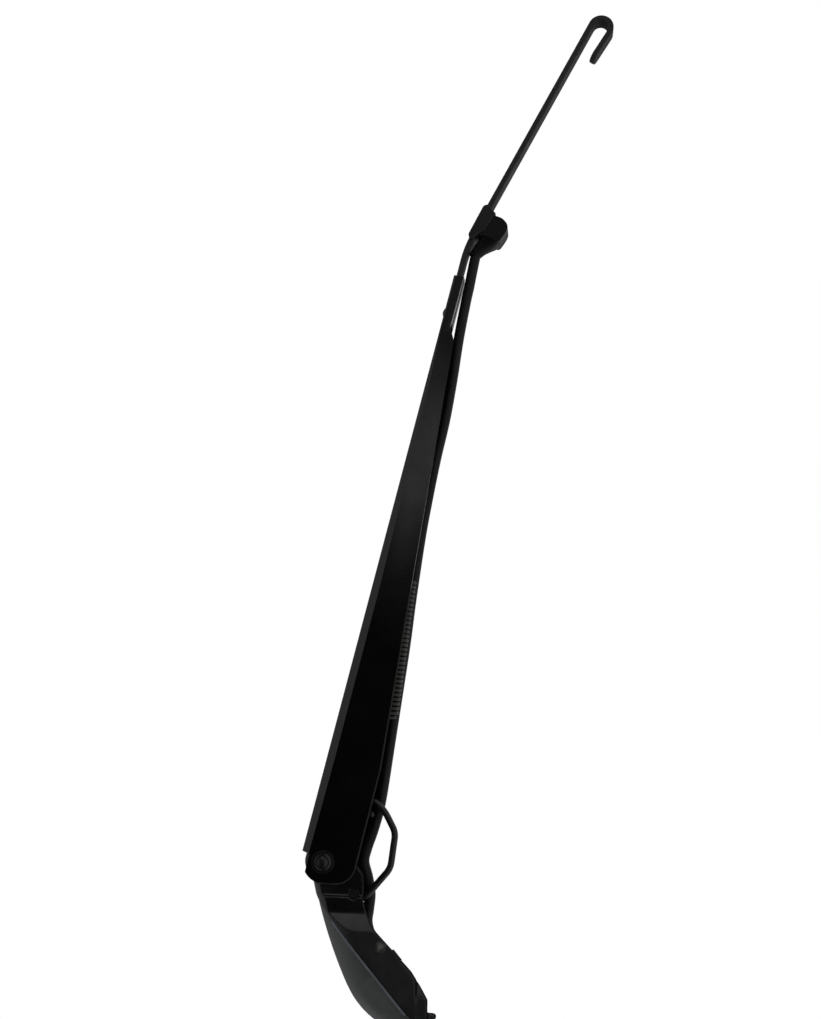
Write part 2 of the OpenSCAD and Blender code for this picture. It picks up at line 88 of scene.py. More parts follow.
def noise(tree, coord, scale, detail=3.0, rough=0.5, stretch=None):
    node = tree.nodes.new("ShaderNodeTexNoise")
    node.inputs["Scale"].default_value = scale
    node.inputs["Detail"].default_value = detail
    node.inputs["Roughness"].default_value = rough
    if stretch:
        mapping = tree.nodes.new("ShaderNodeMapping")
        mapping.inputs["Scale"].default_value = stretch
        feed(tree, mapping.inputs["Vector"], coord)
        coord = mapping.outputs["Vector"]
    feed(tree, node.inputs["Vector"], coord)
    return node.outputs["Fac"]


def spread(tree, source, low, high, lo_in=0.3, hi_in=0.7):
    """Number that goes from low to high while the source goes from lo_in to hi_in"""
    node = tree.nodes.new("ShaderNodeMapRange")
    node.inputs["From Min"].default_value = lo_in
    node.inputs["From Max"].default_value = hi_in
    node.inputs["To Min"].default_value = low
    node.inputs["To Max"].default_value = high
    feed(tree, node.inputs["Value"], source)
    return node.outputs["Result"]


def maths(tree, operation, *values):
    node = tree.nodes.new("ShaderNodeMath")
    node.operation = operation
    for socket, value in zip(node.inputs, values):
        feed(tree, socket, value)
    return node.outputs[0]


def measured(tree, operation, source, other=(0, 0, 0)):
    """Number worked out from a vector, such as its length or its distance from another"""
    node = tree.nodes.new("ShaderNodeVectorMath")
    node.operation = operation
    feed(tree, node.inputs[0], source)
    feed(tree, node.inputs[1], other)
    return node.outputs["Value"]


def mixed(tree, factor, a, b):
    """Colour between a and b"""
    node = tree.nodes.new("ShaderNodeMix")
    node.data_type = "RGBA"
    feed(tree, node.inputs["Factor"], factor)
    for socket, value in ((node.inputs[6], a), (node.inputs[7], b)):
        feed(tree, socket, (*value, 1) if isinstance(value, tuple) else value)
    return node.outputs[2]


def between(tree, factor, a, b):
    """Number between a and b"""
    node = tree.nodes.new("ShaderNodeMix")
    feed(tree, node.inputs["Factor"], factor)
    feed(tree, node.inputs[2], a)
    feed(tree, node.inputs[3], b)
    return node.outputs[0]


def axes(tree, source):
    node = tree.nodes.new("ShaderNodeSeparateXYZ")
    feed(tree, node.inputs[0], source)
    return node.outputs


DUST = (0.2, 0.19, 0.17)
# Scale of the patches on lightened edges (partly wear, partly painted highlight), and of the dust
# specks
WEAR_AND_SHEEN_SCALE, SPECK_SCALE = 350, 700


def material(name, dark, light, rough, spec=0.5, metal=0.0, patch=45, fine=900, bump=0.2,
             depth=0.00004, wear_and_sheen=(0.1, 0.1, 0.1), wear_and_sheen_most=0.0, wear_and_sheen_least=0.0, stretch=None, dust=0.0):
    """Broad and fine colour variation, uneven gloss, surface relief, some dust, and edges lightened
    in patches, partly as wear and partly as painted highlight
    """
    m = bpy.data.materials.new(name)
    m.use_nodes = True
    t = m.node_tree
    shader = t.nodes["Principled BSDF"]
    shader.inputs["Specular IOR Level"].default_value = spec
    shader.inputs["Metallic"].default_value = metal
    coord = t.nodes.new("ShaderNodeTexCoord").outputs["Object"]
    broad = noise(t, coord, patch, 4, 0.6, stretch)
    small = noise(t, coord, fine, 3, 0.6, stretch)
    both = maths(t, "MULTIPLY_ADD", small, 0.45, spread(t, broad, 0.0, 0.55))
    colour = ramp(t, both, [(0.15, dark), (0.85, light)])
    # Edges lightened in patches: partly wear, partly painted highlight
    if wear_and_sheen_most:
        edge = t.nodes.new("ShaderNodeAttribute")
        edge.attribute_name = "wear_and_sheen"
        wear_and_sheen_patches = spread(t, noise(t, coord, WEAR_AND_SHEEN_SCALE, 5, 0.7), wear_and_sheen_least, wear_and_sheen_most, 0.5, 0.68)
        colour = mixed(t, maths(t, "MULTIPLY", edge.outputs["Fac"], wear_and_sheen_patches), colour, wear_and_sheen)
    if dust:
        specks = spread(t, noise(t, coord, SPECK_SCALE, 2, 0.5), 0, dust, 0.66, 0.78)
        colour = mixed(t, specks, colour, DUST)
    feed(t, shader.inputs["Base Color"], colour)
    feed(t, shader.inputs["Roughness"], spread(t, broad, rough * 0.85, rough * 1.2))
    relief = t.nodes.new("ShaderNodeBump")
    relief.inputs["Strength"].default_value = bump
    relief.inputs["Distance"].default_value = depth
    feed(t, relief.inputs["Height"], small)
    feed(t, shader.inputs["Normal"], relief.outputs["Normal"])
    return m


# Grey film over the head between two places along X, and the scuff on its near side, in metres
FILM_START, FILM_END = 0.044, 0.034
FILM_DARK, FILM_LIGHT = (0.0045, 0.0055, 0.0048), (0.009, 0.0105, 0.009)
SCUFF_PLACE, SCUFF_CORE, SCUFF_REACH = (0.0275, -0.0165, 0.0157), 0.0008, 0.0034
SCUFF_GREY = (0.14, 0.148, 0.135)
# Z of the normal where the head's underside is all dull, and where it starts to be
ALL_DULL, DULL_START = -0.6, -0.2


def painted_casting():
    """Black paint with a dull grey film over the head and one scuff on its near side"""
    # Outward edges lightened in bluish grey: partly wear, partly painted highlight
    m = material("painted_casting", (0.0008, 0.001, 0.001), (0.002, 0.0023, 0.0023), 0.3, 0.5,
                 patch=70, fine=1300, bump=0.25, depth=0.00005, wear_and_sheen_most=0.7, wear_and_sheen=(0.09, 0.095, 0.1),
                 dust=0.03)
    t = m.node_tree
    shader = t.nodes["Principled BSDF"]
    colour = shader.inputs["Base Color"].links[0].from_socket
    gloss = shader.inputs["Roughness"].links[0].from_socket
    coord = t.nodes.new("ShaderNodeTexCoord").outputs["Object"]
    film = spread(t, axes(t, coord)["X"], 1, 0, FILM_END, FILM_START)
    grey = ramp(t, noise(t, coord, 160, 4, 0.65), [(0.3, FILM_DARK), (0.7, FILM_LIGHT)])
    away = measured(t, "DISTANCE", coord, SCUFF_PLACE)
    near = spread(t, away, 1, 0, SCUFF_CORE, SCUFF_REACH)
    scuff = maths(t, "MULTIPLY", near, spread(t, noise(t, coord, 520, 4, 0.7), 0.15, 1, 0.4, 0.56))
    feed(t, shader.inputs["Base Color"], mixed(t, scuff, mixed(t, film, colour, grey), SCUFF_GREY))
    facing = axes(t, t.nodes.new("ShaderNodeNewGeometry").outputs["Normal"])["Z"]
    under = spread(t, facing, 0.4, 0, ALL_DULL, DULL_START)
    dull = maths(t, "ADD", maths(t, "MULTIPLY_ADD", film, 0.12, gloss), under)
    feed(t, shader.inputs["Roughness"], dull)
    feed(t, shader.inputs["Specular IOR Level"],
         spread(t, facing, 0.05, 0.5, ALL_DULL, DULL_START))
    return m


MATERIALS = {
    # Channel edges lightened over at least half their length: mostly painted highlight, some wear
    "black_paint": material(
        "satin_black_paint", (0.0006, 0.0008, 0.0009), (0.0012, 0.0016, 0.0018), 0.22, 0.5,
        patch=30, fine=420, bump=0.06, depth=0.00002, wear_and_sheen_most=1.0, wear_and_sheen_least=0.5,
        wear_and_sheen=(0.11, 0.11, 0.1), dust=0.004),
    "rod_paint": material(
        "rod_paint", (0.022, 0.022, 0.0212), (0.036, 0.036, 0.035), 0.56, 0.08,
        patch=60, fine=700, bump=0.15, wear_and_sheen_most=0.6, wear_and_sheen=(0.07, 0.07, 0.068), dust=0.02),
    "cast_black": painted_casting(),
    "cap_plastic": material(
        "cap_plastic", (0.05, 0.053, 0.052), (0.08, 0.085, 0.083), 0.5, 0.2,
        patch=60, fine=1800, bump=0.2, depth=0.00003, wear_and_sheen_most=0.3, wear_and_sheen=(0.05, 0.05, 0.05)),
    # Light paint for the line along the channel's cut edge: a painted highlight
    "edge_highlight_paint": material(
        "edge_highlight_paint", (0.014, 0.014, 0.013), (0.034, 0.034, 0.031), 0.45, 0.08, patch=180),
    # Light bluish paint for the seam bead: a painted highlight along the cap's seam
    "seam_highlight_paint": material(
        "seam_highlight_paint", (0.07, 0.078, 0.092), (0.11, 0.122, 0.145), 0.22, 0.5,
        patch=90, fine=1500, bump=0.1, depth=0.00002),
    "black_plastic": material(
        "moulded_plastic", (0.0012, 0.0012, 0.0011), (0.003, 0.003, 0.0028), 0.48, 0.2,
        patch=80, fine=1600, bump=0.3, wear_and_sheen_most=0.3, wear_and_sheen=(0.02, 0.02, 0.02)),
    "saddle_plastic": material(
        "saddle_plastic", (0.0055, 0.0055, 0.005), (0.009, 0.009, 0.0083), 0.46, 0.3,
        patch=80, fine=1600, bump=0.3, wear_and_sheen_most=0.3, wear_and_sheen=(0.02, 0.02, 0.02)),
    "hose_rubber": material(
        "hose_rubber", (0.0025, 0.0025, 0.0022), (0.006, 0.006, 0.0054), 0.52, 0.25,
        patch=90, bump=0.2, depth=0.00005, stretch=(0.25, 1, 1), dust=0.05),
    "spring_steel": material(
        "blackened_spring_wire", (0.003, 0.0029, 0.0022), (0.011, 0.0105, 0.008), 0.5, 0.4,
        metal=0.3, patch=120, fine=1500, bump=0.2, depth=0.00002),
    "link_steel": material(
        "blackened_link_wire", (0.008, 0.008, 0.008), (0.02, 0.02, 0.0195), 0.26, 0.5,
        metal=0.4, patch=90, fine=1200, bump=0.18, depth=0.00002),
    "dark_steel": material(
        "phosphated_pin", (0.006, 0.006, 0.0065), (0.014, 0.014, 0.015), 0.28, 0.5,
        metal=0.3, patch=150, fine=1200, bump=0.2, depth=0.00003),
    "bush_plastic": material(
        "bush_plastic", (0.03, 0.03, 0.028), (0.05, 0.05, 0.047), 0.5, 0.4,
        patch=100, fine=1500, bump=0.2),
}


def finish_piece(obj, slot, body=None, *replaced):
    """Material, slot and body of a piece, and the CAD nodes that it stands for"""
    obj.data.materials.clear()
    obj.data.materials.append(MATERIALS[slot])
    if body:
        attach(obj, body)
    if replaced:
        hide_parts(*replaced)
    return obj


# Shared ways to make a piece
def new_object(name, data):
    obj = bpy.data.objects.new(name, data)
    bpy.context.collection.objects.link(obj)
    return obj


def shaded(name, bm, sharp, mesh=None, even=True):
    """Object from a bmesh, smooth but where it turns by more than the sharp angle in degrees"""
    mesh = mesh or bpy.data.meshes.new(name)
    bm.to_mesh(mesh)
    bm.free()
    mesh.shade_smooth()
    mesh.set_sharp_from_angle(angle=math.radians(sharp))
    obj = new_object(name, mesh)
    if even:
        weighted = obj.modifiers.new("weighted", "WEIGHTED_NORMAL")
        weighted.keep_sharp = True
    return obj


def skin(bm, rings):
    """Faces from each ring of corners to the next, and one on each end"""
    count = len(rings[0])
    for a, b in zip(rings, rings[1:]):
        for j in range(count):
            bm.faces.new((a[j], a[(j + 1) % count], b[(j + 1) % count], b[j]))
    bm.faces.new(rings[0][::-1])
    bm.faces.new(rings[-1])


# Corners this close in metres are one, and so are faces that turn by less in degrees
SAME_PLACE, FLAT_TURN = 2e-6, 0.6


def flat_faced(mesh):
    """CAD mesh with its flat triangles joined to faces"""
    bm = bmesh.new()
    bm.from_mesh(mesh)
    bmesh.ops.remove_doubles(bm, verts=bm.verts, dist=SAME_PLACE)
    bmesh.ops.dissolve_limit(bm, angle_limit=math.radians(FLAT_TURN), verts=bm.verts,
                             edges=bm.edges)
    return bm


# Turns of the edges in degrees: folds of the pressed sheet, and its cut edges from there up
FOLD_TURNS, CUT_TURN, FULL_TURN = (35, 55), 60, 179


def turned_edges(bm, low, high):
    return [e for e in bm.edges if len(e.link_faces) == 2
            and math.radians(low) < e.calc_face_angle(0) <= math.radians(high)]


def round_over(bm, edges, offset, segments):
    return bmesh.ops.bevel(bm, geom=edges, offset=offset * MM, segments=segments, profile=0.5,
                           affect="EDGES", clamp_overlap=True)


def rolled(name, node, soft, fold=0.0, segments=3, low=28, shortest=0.0):
    """CAD form with its folds and edges rounded, and its edges marked for lightening, partly wear
    and partly painted highlight
    """
    mesh = nodes[node].data.copy()
    bm = flat_faced(mesh)
    if fold:
        round_over(bm, turned_edges(bm, *FOLD_TURNS), fold, 4)
        low = CUT_TURN
    edges = [e for e in turned_edges(bm, low, FULL_TURN) if e.calc_length() > shortest * MM]
    made = round_over(bm, edges, soft, segments)
    layer = bm.loops.layers.float.new("wear_and_sheen")
    for f in made["faces"]:
        for corner in f.loops:
            corner[layer] = 1.0
    return shaded(name, bm, 38, mesh)


def flowing(points, k):
    """Smooth curve through points, with k steps from each to the next"""
    out = []
    last = len(points) - 1
    for i in range(last):
        a, b, c, d = (Vector(points[max(i - 1, 0)]), Vector(points[i]), Vector(points[i + 1]),
                      Vector(points[min(i + 2, last)]))
        for j in range(k):
            t = j / k
            out.append(b + (c - a) * t / 2 + (a * 2 - b * 5 + c * 4 - d) * t * t / 2
                       + (b * 3 - c * 3 + d - a) * t ** 3 / 2)
    out.append(Vector(points[last]))
    return out


def eased(points, closed=False, steps=6):
    """Polyline of (place, cut) with each corner rounded over its cut"""
    out = []
    n = len(points)
    for i, (here, cut) in enumerate(points):
        if not closed and i in (0, n - 1):
            out.append(Vector(here))
            continue
        here, before, after = Vector(here), Vector(points[i - 1][0]), Vector(points[(i + 1) % n][0])
        a = here + (before - here).normalized() * min(cut, (before - here).length / 2)
        b = here + (after - here).normalized() * min(cut, (after - here).length / 2)
        for j in range(steps + 1):
            t = j / steps
            out.append(a * (1 - t) ** 2 + here * 2 * t * (1 - t) + b * t * t)
    return out


# Angles of the rings that round the end of a tube, in degrees
END_TURNS = (35, 62, 82)


def tube(name, path, radius, sides=16, dome=0.6):
    """Round bar along a path of points in mm, with rounded ends"""
    last = len(path) - 1
    stations = []
    for i, p in enumerate(path):
        along = (path[min(i + 1, last)] - path[max(i - 1, 0)]).normalized()
        stations.append((p, along, radius))

    def end(station, way):
        p, along, r = station
        return [(p + along * way * dome * r * math.sin(a), along, r * math.cos(a) ** 0.6)
                for a in map(math.radians, END_TURNS)]

    stations = end(stations[0], -1)[::-1] + stations + end(stations[-1], 1)
    bm = bmesh.new()
    rings = []
    normal = stations[0][1].orthogonal().normalized()
    for p, along, r in stations:
        normal = (normal - along * normal.dot(along)).normalized()
        other = along.cross(normal)
        ring = []
        for j in range(sides):
            a = 2 * math.pi * j / sides
            ring.append(bm.verts.new((p + (normal * math.cos(a) + other * math.sin(a)) * r) * MM))
        rings.append(ring)
    skin(bm, rings)
    return shaded(name, bm, 60, even=False)


# Cast head
HEAD_VOXEL, SMOOTH_ROUNDS = 0.55, 2
# Skirt of the head: below the one and short of the other in mm, with its edges lightened less, as
# wear and painted highlight
SKIRT_TOP, SKIRT_END, SKIRT_WEAR_AND_SHEEN = 14, 34, 0.15


def cast_head():
    """Head with the soft corners of a casting, and lightening where it is rounded outward, partly
    wear and partly painted highlight
    """
    mesh = nodes["arm_head"].data.copy()
    bm = bmesh.new()
    bm.from_mesh(mesh)
    bmesh.ops.remove_doubles(bm, verts=bm.verts, dist=SAME_PLACE)
    bm.to_mesh(mesh)
    bm.free()
    obj = new_object("cast_head", mesh)
    remesh = obj.modifiers.new("remesh", "REMESH")
    remesh.mode = "VOXEL"
    remesh.voxel_size = HEAD_VOXEL * MM
    smooth = obj.modifiers.new("smooth", "SMOOTH")
    smooth.factor = 0.5
    smooth.iterations = SMOOTH_ROUNDS
    bpy.context.view_layer.update()
    graph = bpy.context.evaluated_depsgraph_get()
    done = bpy.data.meshes.new_from_object(obj.evaluated_get(graph))
    obj.modifiers.clear()
    obj.data = done
    obj.data.name = "cast_head"
    bm = bmesh.new()
    bm.from_mesh(done)
    bm.normal_update()
    layer = bm.verts.layers.float.new("wear_and_sheen")
    for v in bm.verts:
        turn = sum(e.calc_face_angle_signed(0) for e in v.link_edges if len(e.link_faces) == 2)
        skirt = v.co.z < SKIRT_TOP * MM and v.co.x < SKIRT_END * MM
        v[layer] = min(1.0, max(0.0, turn * 0.7 - 0.25)) * (SKIRT_WEAR_AND_SHEEN if skirt else 1.0)
    bm.to_mesh(done)
    bm.free()
    done.shade_smooth()
    return obj


finish_piece(cast_head(), "cast_black", "head", "arm_head")
finish_piece(rolled("cap_shell", "spindle_cap", 0.5), "cap_plastic", "head", "spindle_cap")

# Seam of the cap, a slanted plane through the sweeps of the crown, in mm
SEAM_X, SEAM_SLOPE, RIM_LIFT = -16.4, math.radians(42.1), -8
BACK, BACK_R, NOSE, NOSE_R, SIDE_R = (109.92, -161.73), 230, (24.57, 5.78), 42, 17.6
NOSE_FROM = math.radians(117)
RIM_START, RIM_RUN, RIM_STEPS, RIM_PROUD, RIM_R = -4, 42, 40, 0.1, 0.6


def cap_seam_highlight():
    """Bead along the near side of the cap's seam, in light bluish paint that is a painted highlight
    """
    points = []
    for i in range(RIM_STEPS + 1):
        x = RIM_START + RIM_RUN * i / RIM_STEPS
        z = (x - SEAM_X) * math.tan(SEAM_SLOPE)
        on_nose = math.atan2(z - NOSE[1], x - NOSE[0]) > NOSE_FROM
        centre, sweep = (NOSE, NOSE_R) if on_nose else (BACK, BACK_R)
        out = math.hypot(x - centre[0], z - centre[1]) - (sweep - SIDE_R)
        y = -math.sqrt(SIDE_R ** 2 - max(0, min(out, SIDE_R)) ** 2)
        points.append(Vector((x, y + RIM_PROUD, z + RIM_LIFT)))
    return tube("cap_seam_highlight", points, RIM_R, 12)


# Bead in light paint: a painted highlight along the seam
finish_piece(cap_seam_highlight(), "seam_highlight_paint", "head")

# Channel frame, u along the web and w outward, in mm
HINGE = Vector((67, 0, 47))
DIP = math.radians(13.2)


def turned_place(origin, dip, u, y, w):
    """Place in a frame that dips, u along it and w outward"""
    return origin + Vector((u * math.cos(dip) + w * math.sin(dip), y,
                            -u * math.sin(dip) + w * math.cos(dip)))


def outward(dip):
    return Vector((math.sin(dip), 0, math.cos(dip)))


# Pressed channel
finish_piece(rolled("pressed_channel", "channel", 0.45, fold=1.6, shortest=0.6),
             "black_paint", "arm", "channel")

# Near wall: where its corners lie in Y in mm, and the most Y in the normals of wall and cut
WALL_Y, WALL_NORMAL, CUT_NORMAL = -6, -0.97, 0.2
LINE_R = 0.4


def longest_chain(links):
    """Places along the longest run of linked corners"""
    best = []
    for start in [i for i, near in links.items() if len(near) == 1]:
        at, path, seen = start, [links[start][0][2]], {start}
        while True:
            onward = [n for n in links[at] if n[0] not in seen]
            if not onward:
                break
            at, place, _ = onward[0]
            seen.add(at)
            path.append(place)
        if len(path) > len(best):
            best = path
    return best


def wall_highlight_line():
    """Painted highlight: a line of light paint along the cut edge of the near wall, below the hinge
    """
    bm = flat_faced(nodes["channel"].data)
    bm.normal_update()
    bm.verts.index_update()
    links = {}
    for e in bm.edges:
        if len(e.link_faces) != 2 or max(v.co.y for v in e.verts) > WALL_Y * MM:
            continue
        wall, cut = sorted(e.link_faces, key=lambda f: f.normal.y)
        if wall.normal.y < WALL_NORMAL and abs(cut.normal.y) < CUT_NORMAL:
            for v in e.verts:
                other = e.other_vert(v)
                links.setdefault(v.index, []).append((other.index, other.co / MM, v.co / MM))
    bm.free()
    low = [p for p in longest_chain(links) if (p - HINGE).dot(outward(DIP)) < 0]
    return tube("wall_highlight_line", low, LINE_R, 8)


# Line along the near wall's cut edge in light paint: a painted highlight
finish_piece(wall_highlight_line(), "edge_highlight_paint", "arm")

# Flat rod with its bend and J-hook, swept as one rounded bar, in the channel frame
ROD_BACK, ROD_W, ROD_HALF_WIDTH, ROD_HALF_THICK = 286, 9.85, 4.5, 1.5
BEND_U, BEND_R, BEND_TURN = 334.3, 60.0, math.radians(14.4)
ROD_STRAIGHT, HOOK_R, HOOK_LEG, HOOK_TOE = 144.8, 5.8, 20.0, math.radians(4)
BEND_STEPS, HOOK_STEPS, CORNER_STEPS = 12, 24, 4
# Straight part of the rod: where it starts, and how it dips
ROD_START = turned_place(HINGE, DIP, BEND_U + BEND_R * math.sin(BEND_TURN), 0,
                         ROD_W - BEND_R * (1 - math.cos(BEND_TURN)))
ROD_DIP = DIP + BEND_TURN


def on_rod(u, y, w):
    """Place in the frame of the rod's straight part"""
    return turned_place(ROD_START, ROD_DIP, u, y, w)


def rod_path():
    """Stations of the rod in mm: place, outward turn and half width"""
    out = []

    def station(u, w, a, half=ROD_HALF_WIDTH):
        out.append((turned_place(HINGE, DIP, u, 0, w), a, half))

    for u in (ROD_BACK, 288, 292, 300, 315, 325, BEND_U - 0.5):
        station(u, ROD_W, 0)
    for i in range(BEND_STEPS + 1):
        a = BEND_TURN * i / BEND_STEPS
        station(BEND_U + BEND_R * math.sin(a), ROD_W - BEND_R * (1 - math.cos(a)), a)
    u0 = BEND_U + BEND_R * math.sin(BEND_TURN)
    w0 = ROD_W - BEND_R * (1 - math.cos(BEND_TURN))

    def rest(x, z, a, half=ROD_HALF_WIDTH):
        u = u0 + x * math.cos(BEND_TURN) + z * math.sin(BEND_TURN)
        w = w0 - x * math.sin(BEND_TURN) + z * math.cos(BEND_TURN)
        station(u, w, BEND_TURN + a, half)

    for x in (2, 20, 45, 70, 95, 120, 140, ROD_STRAIGHT - 0.4):
        rest(x, 0, 0)
    for i in range(HOOK_STEPS + 1):
        a = math.pi * i / HOOK_STEPS
        rest(ROD_STRAIGHT + HOOK_R * math.sin(a), -HOOK_R * (1 - math.cos(a)), a)
    round_from = HOOK_LEG - ROD_HALF_WIDTH
    for s in [0.5, 4, 8, 12, round_from] + [
            round_from + ROD_HALF_WIDTH * math.sin(math.radians(b)) for b in range(15, 90, 15)]:
        half = ROD_HALF_WIDTH
        if s > round_from:
            half = max(0.9, math.sqrt(max(0.0, ROD_HALF_WIDTH ** 2 - (s - round_from) ** 2)))
        rest(ROD_STRAIGHT - s * math.cos(HOOK_TOE), -2 * HOOK_R + s * math.sin(HOOK_TOE),
             math.pi + HOOK_TOE, half)
    return out


def rounded_section(half_w, half_t, r):
    """Corners of the rod's section, and whether each is on a rounded edge"""
    pts = []
    for cy, cz, a0 in ((1, 1, 0), (-1, 1, 90), (-1, -1, 180), (1, -1, 270)):
        for i in range(CORNER_STEPS + 1):
            a = math.radians(a0 + 90 * i / CORNER_STEPS)
            pts.append((cy * (half_w - r) + r * math.cos(a), cz * (half_t - r) + r * math.sin(a),
                        0 < i < CORNER_STEPS))
    return pts


def flat_rod():
    bm = bmesh.new()
    # Rounded edges marked for lightening: partly wear, partly painted highlight
    layer = bm.verts.layers.float.new("wear_and_sheen")
    rings = []
    for place, angle, half in rod_path():
        out = outward(DIP + angle)
        ring = []
        for y, t, edge in rounded_section(half, ROD_HALF_THICK, 0.62 if half > 1 else 0.5):
            v = bm.verts.new((place + Vector((0, y, 0)) + out * t) * MM)
            v[layer] = 1.0 if edge else 0.0
            ring.append(v)
        rings.append(ring)
    skin(bm, rings)
    bmesh.ops.recalc_face_normals(bm, faces=bm.faces)
    return shaded("flat_rod", bm, 50)


finish_piece(flat_rod(), "rod_paint", "arm", "blade_rod")

# Washer hose from the nozzle block to the connector in the head
HOSE_R = 2.9
HOSE = [
    (404, 0, -28.9), (399, 0, -26.6), (389, 0, -24.6), (380, 0, -23), (371, 0, -21.2),
    (350, 0, -17.6), (326, 0, -14.3), (303, 0.6, -10.5), (281, 1.6, -5.7), (259, 2.8, -1.5),
    (237, 4.4, 2.3), (204, 6.1, 6.8), (182, 6.5, 9.3), (160, 6.7, 12.2), (129, 6.6, 16.4),
    (98, 6.1, 20.6), (84, 5.8, 23.8), (73, 5.6, 27.4), (66, 5.5, 28.8), (58, 5.5, 26.6),
    (50, 5.5, 25.1), (42, 5.5, 25.7), (36, 5.5, 26.3), (30, 5.5, 24.6), (25, 5.5, 20.5),
    (20.8, 5.5, 16.7),
]
hose = tube("washer_line", flowing(HOSE, 8), HOSE_R, 20, dome=0.2)
finish_piece(hose, "hose_rubber", None, "washer_hose", "hose_tail")
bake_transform(hose)

# Nozzle saddle and block, in the rod's straight frame: corners of (u, w) with the cut of each
SADDLE = [((-3, -1.3), 1.0), ((-1.7, 2.3), 1.8), ((17.8, 2.6), 1.2), ((19.7, 0.6), 1.4),
          ((18.1, -2.2), 1.2), ((16.6, -6), 0.7), ((4.4, -5), 0.5), ((2.9, -3.5), 0.6)]
BLOCK = [((15.2, -4.4), 0.2), ((15.9, -10.5), 2), ((13.6, -15.6), 3.4), ((9, -16.1), 2),
         ((1.8, -15.2), 2.4), ((2.9, -4.2), 0.2)]
RIB = [((1.7, -3.4), 0.2), ((2.9, -3.4), 0.2), ((3.7, -11), 0.3), ((2.5, -11.2), 0.3)]
# Neck of the block, ring by ring: u, w, half height, half width and squareness
BELL = [(4.5, -9.6, 5.4, 6.0, 6), (2.4, -9.5, 5.4, 5.9, 5), (0.6, -9.0, 5.2, 5.3, 3.6),
        (-2, -7.9, 4.6, 4.5, 2.8), (-5, -6.7, 3.9, 3.9, 2.1), (-8.2, -5.8, 3.4, 3.4, 2),
        (-9.4, -5.5, 3.2, 3.2, 2), (-9.6, -5.4, 2.7, 2.7, 2)]
BELL_SIDES = 28
JET_U, JET_Y, JET_W, JET_R = 14.9, 3.4, -9.6, 1.3


def moulding(corners, half, soft):
    """Plate across the rod with a rounded rim"""
    outline = eased(corners, closed=True)
    n = len(outline)
    bm = bmesh.new()
    sides = [[bm.verts.new(on_rod(p.x, y, p.y) * MM) for p in outline] for y in (-half, half)]
    rims = [bm.faces.new(sides[0]), bm.faces.new(sides[1][::-1])]
    for j in range(n):
        bm.faces.new((sides[0][j], sides[1][j], sides[1][(j + 1) % n], sides[0][(j + 1) % n]))
    bmesh.ops.recalc_face_normals(bm, faces=bm.faces)
    round_over(bm, list({e for f in rims for e in f.edges}), soft, 4)
    return bm


def moulded(name, bm):
    bmesh.ops.recalc_face_normals(bm, faces=bm.faces)
    return shaded(name, bm, 42)


def bell(bm):
    """Neck that narrows from the block to the hose"""
    rings = []
    for u, w, half_w, half_y, power in BELL:
        ring = []
        for j in range(BELL_SIDES):
            a = 2 * math.pi * j / BELL_SIDES
            c, s = math.cos(a), math.sin(a)
            ring.append(bm.verts.new(on_rod(
                u, half_y * math.copysign(abs(c) ** (2 / power), c),
                w + half_w * math.copysign(abs(s) ** (2 / power), s)) * MM))
        rings.append(ring)
    skin(bm, rings)


def nozzle_block():
    bm = moulding(BLOCK, 6.3, 1.7)
    bell(bm)
    rib = moulding(RIB, 6.6, 0.25)
    mesh = bpy.data.meshes.new("rib")
    rib.to_mesh(mesh)
    rib.free()
    bm.from_mesh(mesh)
    return moulded("nozzle_block", bm)


def jet_ball(name, side):
    bm = bmesh.new()
    bmesh.ops.create_uvsphere(bm, u_segments=20, v_segments=12, radius=JET_R * MM)
    bmesh.ops.translate(bm, verts=bm.verts, vec=on_rod(JET_U, side * JET_Y, JET_W) * MM)
    return moulded(name, bm)


finish_piece(moulded("nozzle_saddle", moulding(SADDLE, 7, 0.7)), "saddle_plastic", "arm",
             "nozzle_clip")
finish_piece(nozzle_block(), "black_plastic", "arm", "nozzle_body")
finish_piece(jet_ball("jet_ball_near", -1), "dark_steel", "arm", "jet_near")
finish_piece(jet_ball("jet_ball_far", 1), "dark_steel", "arm", "jet_far")

# Spring and link in mm: its anchor pin, the link's pin, and the line between them
ANCHOR = Vector((219.5, 0, 11.5))
LINK = Vector((51.5, 0, 31))
ACROSS = Vector((0, 1, 0))
PULL = (LINK - ANCHOR).normalized()
DOWN = ACROSS.cross(PULL) * -1
SPRING_WIRE, LINK_WIRE, LINK_PIN = 2, 3.5, 5
LINK_REACH, EYE_R, TOUCH = 42.5, 3.5, 0.1


def in_chain(x, y, z):
    """Place on the line from the anchor to the link, x along it and z below it"""
    return ANCHOR + PULL * x + ACROSS * y + DOWN * z


COIL_START, COIL_LENGTH, COIL_TURNS, COIL_R = 6, 72, 30, 6.5
COIL_Y, COIL_Z = -2.6, 1.7
TURN_STEPS, TAIL_STEPS, TAIL_LENGTH, TAIL_SHRINK = 28, 21, 1.6, 3.0


